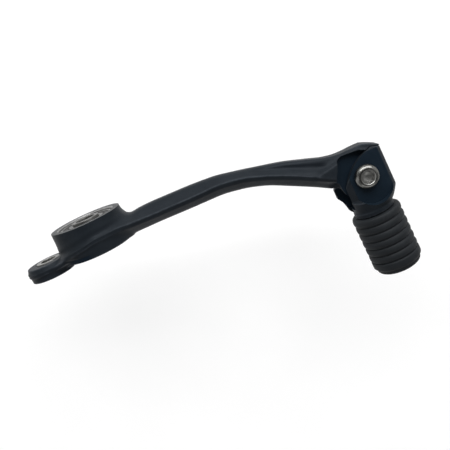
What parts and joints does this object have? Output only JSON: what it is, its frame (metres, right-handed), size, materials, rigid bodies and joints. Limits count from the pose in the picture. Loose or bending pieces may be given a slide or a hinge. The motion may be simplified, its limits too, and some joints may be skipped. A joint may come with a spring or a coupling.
{
  "type": "gear shift lever",
  "caption": "Motorcycle gear shift lever: forged arm on two ball bearings, a link eye at one end and a spring-loaded folding toe piece with a ribbed rubber at the other.",
  "frame": {"origin": "on the pivot axis, between the two bearings' far faces, at the height of the arm's middle plane", "axes": "+X along the arm towards the folding toe piece, +Y along the pivot axis towards the engine side (the machined boss face), -Y the side that the toe peg points to, +Z towards the fold screw's head"},
  "size_m": [0.1612, 0.0749, 0.0324],
  "materials": {
    "forged_aluminium": "dark grey satin coating on a forged surface",
    "zinc_plated_steel": "zinc plated",
    "bearing_steel": "ground",
    "ball_steel": "polished",
    "cage_polymer": "moulded",
    "seal_rubber": "matt",
    "toe_rubber": "matt, ribbed",
    "stainless_steel": "satin",
    "bronze": "sintered, oiled",
    "spring_steel": "oiled"
  },
  "bodies": {
    "pivot_core": {"pivot_sleeve": "zinc_plated_steel", "bearing_inboard_inner_ring": "bearing_steel", "bearing_outboard_inner_ring": "bearing_steel"},
    "lever": {"lever_arm": "forged_aluminium", "link_eye_bush": "zinc_plated_steel", "bearing_inboard_outer_ring": "bearing_steel", "bearing_outboard_outer_ring": "bearing_steel", "bearing_inboard_seal_inboard": "seal_rubber", "bearing_inboard_seal_outboard": "seal_rubber", "bearing_outboard_seal_inboard": "seal_rubber", "bearing_outboard_seal_outboard": "seal_rubber", "fold_washer_near": "zinc_plated_steel", "fold_washer_far": "zinc_plated_steel", "fold_spring": "spring_steel"},
    "toe_piece": {"toe_clevis": "forged_aluminium", "toe_rubber": "toe_rubber", "fold_screw": "stainless_steel", "fold_locknut": "zinc_plated_steel", "fold_bush": "bronze"},
    "ball_train_inboard": {"bearing_inboard_cage": "cage_polymer", "bearing_inboard_ball_01": "ball_steel", "bearing_inboard_ball_02": "ball_steel", "bearing_inboard_ball_03": "ball_steel", "bearing_inboard_ball_04": "ball_steel", "bearing_inboard_ball_05": "ball_steel", "bearing_inboard_ball_06": "ball_steel", "bearing_inboard_ball_07": "ball_steel", "bearing_inboard_ball_08": "ball_steel", "bearing_inboard_ball_09": "ball_steel", "bearing_inboard_ball_10": "ball_steel", "bearing_inboard_ball_11": "ball_steel"},
    "ball_train_outboard": {"bearing_outboard_cage": "cage_polymer", "bearing_outboard_ball_01": "ball_steel", "bearing_outboard_ball_02": "ball_steel", "bearing_outboard_ball_03": "ball_steel", "bearing_outboard_ball_04": "ball_steel", "bearing_outboard_ball_05": "ball_steel", "bearing_outboard_ball_06": "ball_steel", "bearing_outboard_ball_07": "ball_steel", "bearing_outboard_ball_08": "ball_steel", "bearing_outboard_ball_09": "ball_steel", "bearing_outboard_ball_10": "ball_steel", "bearing_outboard_ball_11": "ball_steel"}
  },
  "joints": [
    {"name": "lever_pivot", "type": "hinge", "parent": "pivot_core", "child": "lever", "pos_m": [0, 0, 0], "axis": [0, 1, 0], "range_deg": [-12, 12], "stiffness_Nm_per_rad": 9},
    {"name": "toe_fold", "type": "hinge", "parent": "lever", "child": "toe_piece", "pos_m": [0.1166, -0.0194, 0], "axis": [0, 0, -1], "range_deg": [0, 40], "stiffness_Nm_per_rad": 0.6, "springref_deg": -28.65, "deforming": ["fold_spring"]},
    {"name": "inboard_balls", "type": "hinge", "parent": "pivot_core", "child": "ball_train_inboard", "pos_m": [0, 0, 0], "axis": [0, 1, 0], "range_deg": [-8, 8]},
    {"name": "outboard_balls", "type": "hinge", "parent": "pivot_core", "child": "ball_train_outboard", "pos_m": [0, 0, 0], "axis": [0, 1, 0], "range_deg": [-8, 8]}
  ],
  "couplings": [
    {"joint": "inboard_balls", "follows": "lever_pivot", "ratio": 0.5882},
    {"joint": "outboard_balls", "follows": "lever_pivot", "ratio": 0.5882}
  ]
}
